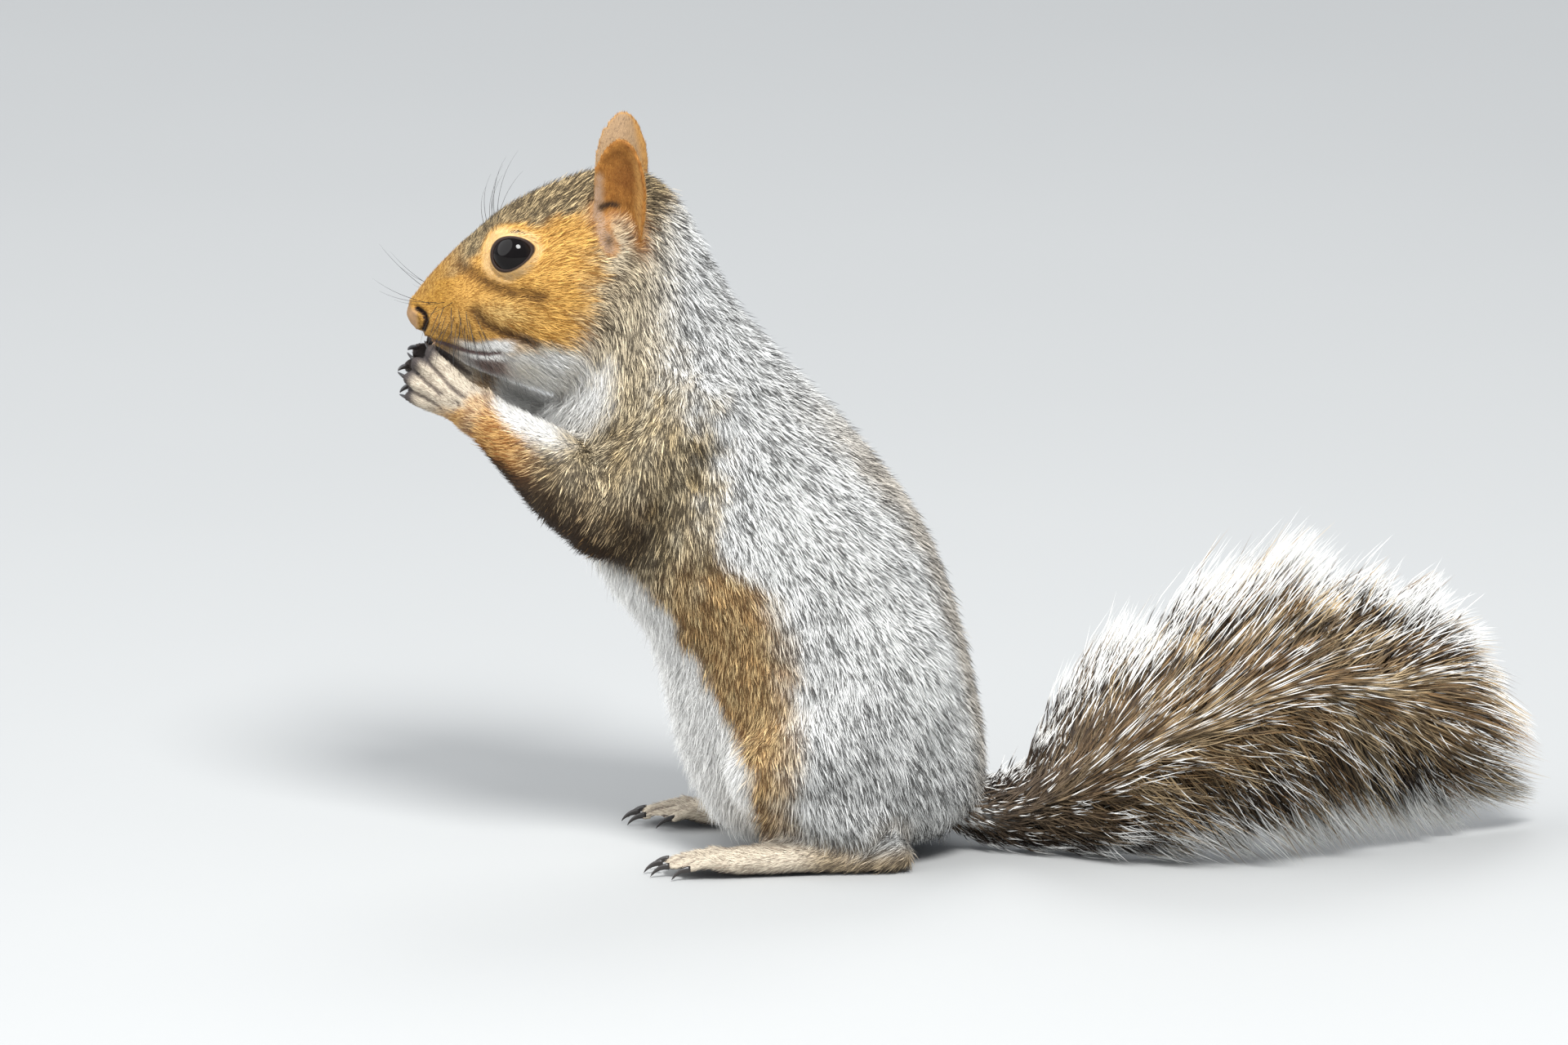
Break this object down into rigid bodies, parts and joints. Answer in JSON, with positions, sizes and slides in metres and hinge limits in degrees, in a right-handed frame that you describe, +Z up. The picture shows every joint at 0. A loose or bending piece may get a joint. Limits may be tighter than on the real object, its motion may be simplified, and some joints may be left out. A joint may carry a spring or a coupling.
{
  "type": "squirrel figure",
  "caption": "Life-size gray squirrel standing upright on its hind feet, forepaws held to its mouth and its bushy tail laid on the ground behind it, as a still model.",
  "frame": {"origin": "bottom centre of the bounding box, on the floor under the animal", "axes": "+Z up, -Y the way the animal faces, +X towards its left side"},
  "size_m": [0.0802, 0.2786, 0.1819],
  "materials": {
    "gray_coat": "soft silver-gray fur with dark ticking",
    "tan_coat": "short orange-tan fur",
    "rust_coat": "short rusty brown fur",
    "pale_coat": "short cream-white fur over gray skin",
    "tail_coat": "long ochre and black hair with white tips",
    "eye_black": "glossy black"
  },
  "bodies": {
    "root": {"head": "tan_coat", "neck": "gray_coat", "trunk": "gray_coat", "ear_left": "tan_coat", "eye_left": "eye_black", "upper_arm_left": "rust_coat", "forearm_left": "tan_coat", "forepaw_left": "pale_coat", "hind_leg_left": "gray_coat", "hind_foot_left": "pale_coat", "ear_right": "tan_coat", "eye_right": "eye_black", "upper_arm_right": "rust_coat", "forearm_right": "tan_coat", "forepaw_right": "pale_coat", "hind_leg_right": "gray_coat", "hind_foot_right": "pale_coat", "tail_1": "tail_coat", "tail_2": "tail_coat", "tail_3": "tail_coat", "tail_4": "tail_coat", "tail_5": "tail_coat"}
  },
  "joints": []
}
